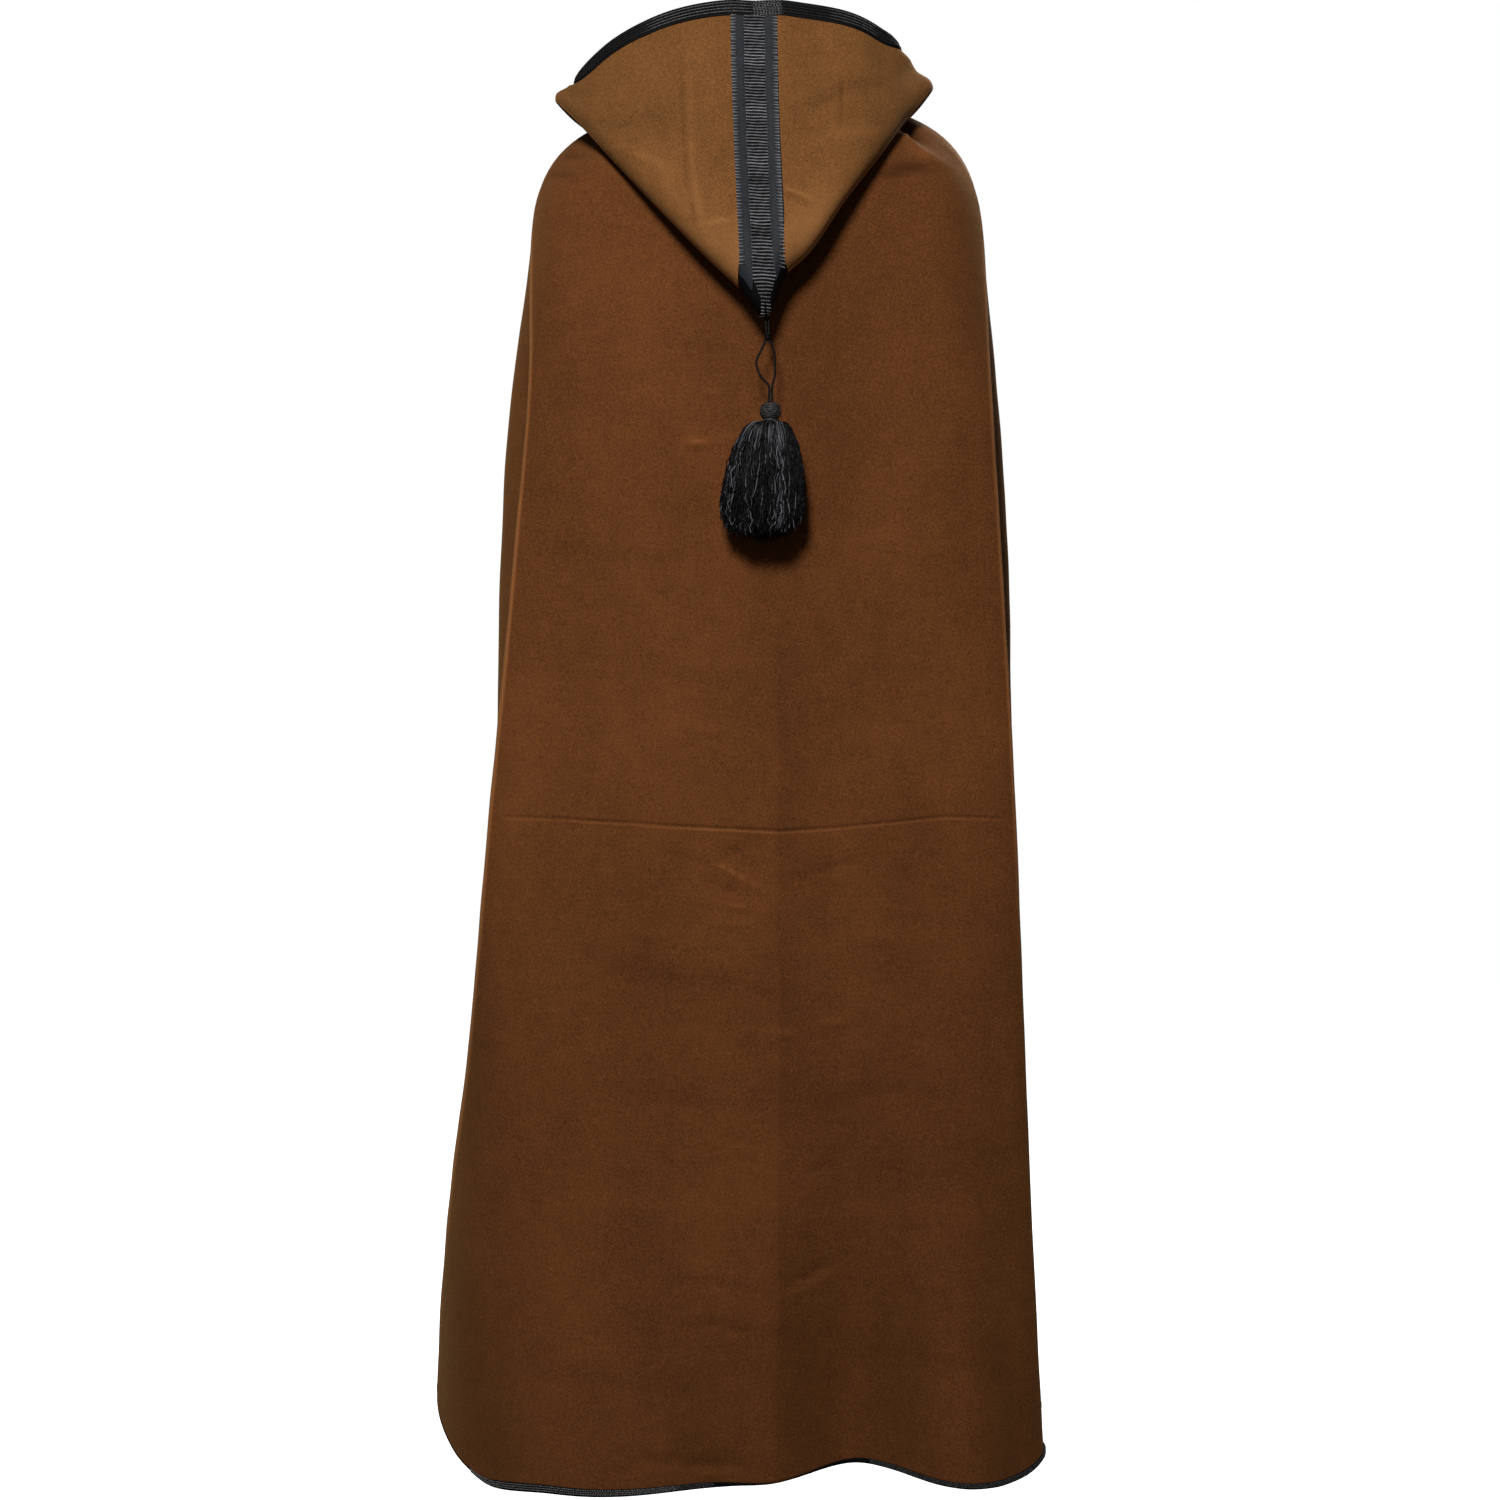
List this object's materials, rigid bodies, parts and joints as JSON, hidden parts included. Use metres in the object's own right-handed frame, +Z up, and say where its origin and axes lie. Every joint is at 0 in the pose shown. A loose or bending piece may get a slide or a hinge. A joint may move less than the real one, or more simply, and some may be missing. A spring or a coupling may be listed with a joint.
{
  "type": "burnous hooded cloak",
  "caption": "Long sleeveless hooded cloak of brown felted wool, worn open, its hood lying on the back with a crown ribbon, edge braid and a corded tassel.",
  "frame": {"origin": "middle of the wearer's neck, level with the tops of the shoulders that hold the cloak up", "axes": "+Z up, -Y out of the wearer's chest, +X to the wearer's left"},
  "size_m": [0.6251, 0.4035, 1.4734],
  "materials": {
    "brown_wool": "felted wool melton with a short soft nap, matt",
    "slate_ribbon": "woven ribbon, satin bands beside a ribbed ladder",
    "black_braid": "flat black braid with fine stitched lines",
    "black_silk": "shiny black silk thread"
  },
  "bodies": {
    "root": {"back": "brown_wool", "front_left": "brown_wool", "front_right": "brown_wool", "hood_left": "brown_wool", "hood_right": "brown_wool", "crown_ribbon": "slate_ribbon", "face_braid": "black_braid", "hem_braid": "black_braid", "front_braid_left": "black_braid", "front_braid_right": "black_braid", "tassel_cord_left": "black_silk", "tassel_cord_right": "black_silk", "tassel": "black_silk"}
  },
  "joints": []
}
